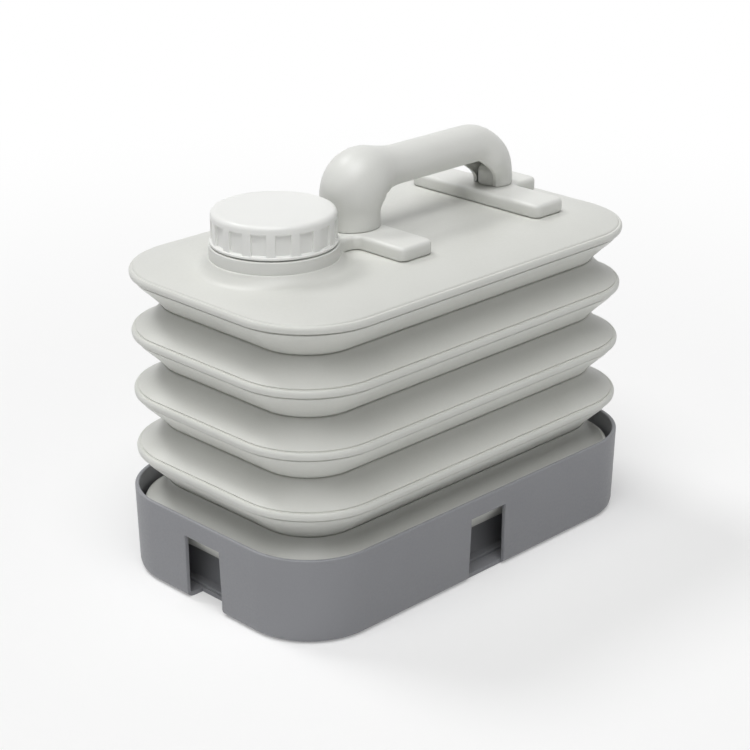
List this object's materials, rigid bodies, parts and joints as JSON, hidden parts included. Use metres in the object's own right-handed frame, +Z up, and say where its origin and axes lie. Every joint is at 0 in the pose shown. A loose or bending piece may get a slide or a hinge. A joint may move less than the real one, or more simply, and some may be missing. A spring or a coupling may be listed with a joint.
{
  "type": "collapsible water carrier",
  "caption": "Oblong bellows water tank that folds down into a grey tray, with a wide ribbed screw cap and a carrying handle on two cross plates.",
  "frame": {"origin": "on the ground under the middle of the tray", "axes": "+X along the tank from the cap end to the far end, +Z up out of the tank, +Y across"},
  "size_m": [0.32, 0.192, 0.2709],
  "materials": {
    "tray": "fine satin moulded grey",
    "tank": "satin blow-moulded warm white",
    "fittings": "satin moulded warm white",
    "liner": "soft matt seal",
    "screws": "plain stainless steel"
  },
  "bodies": {
    "tray_body": {"base_tray": "tray"},
    "base_body": {"tank_base": "tank", "fold_web_4": "tank"},
    "fold_4_body": {"fold_crest_4": "tank", "fold_web_3": "tank"},
    "fold_3_body": {"fold_crest_3": "tank", "fold_web_2": "tank"},
    "fold_2_body": {"fold_crest_2": "tank", "fold_web_1": "tank"},
    "lid_body": {"lid_shell": "tank", "threaded_neck": "fittings", "front_cross_plate": "fittings", "rear_cross_plate": "fittings", "handle_grip": "fittings", "front_grip_screw": "screws", "rear_grip_screw": "screws"},
    "liner_body": {"cap_liner": "liner"},
    "cap_body": {"screw_cap": "fittings"}
  },
  "joints": [
    {"name": "lift_out", "type": "slide", "parent": "tray_body", "child": "base_body", "axis": [0, 0, 1], "range_m": [0, 0.06]},
    {"name": "collapse", "type": "slide", "parent": "base_body", "child": "lid_body", "axis": [0, 0, -1], "range_m": [0, 0.094], "deforming": ["fold_web_1", "fold_web_2", "fold_web_3", "fold_web_4"]},
    {"name": "fold_2_drop", "type": "slide", "parent": "base_body", "child": "fold_2_body", "axis": [0, 0, -1], "range_m": [0, 0.0706]},
    {"name": "fold_3_drop", "type": "slide", "parent": "base_body", "child": "fold_3_body", "axis": [0, 0, -1], "range_m": [0, 0.0471]},
    {"name": "fold_4_drop", "type": "slide", "parent": "base_body", "child": "fold_4_body", "axis": [0, 0, -1], "range_m": [0, 0.0236]},
    {"name": "cap_lift", "type": "slide", "parent": "lid_body", "child": "liner_body", "axis": [0, 0, 1], "range_m": [0, 0.00751]},
    {"name": "cap_turn", "type": "hinge", "parent": "liner_body", "child": "cap_body", "pos_m": [-0.094, 0, 0.2373], "axis": [0, 0, 1], "range_deg": [0, 540]}
  ],
  "couplings": [
    {"joint": "fold_2_drop", "follows": "collapse", "ratio": 0.75},
    {"joint": "fold_3_drop", "follows": "collapse", "ratio": 0.5},
    {"joint": "fold_4_drop", "follows": "collapse", "ratio": 0.25},
    {"joint": "cap_lift", "follows": "cap_turn", "m_per_rad": 0.00079577}
  ]
}
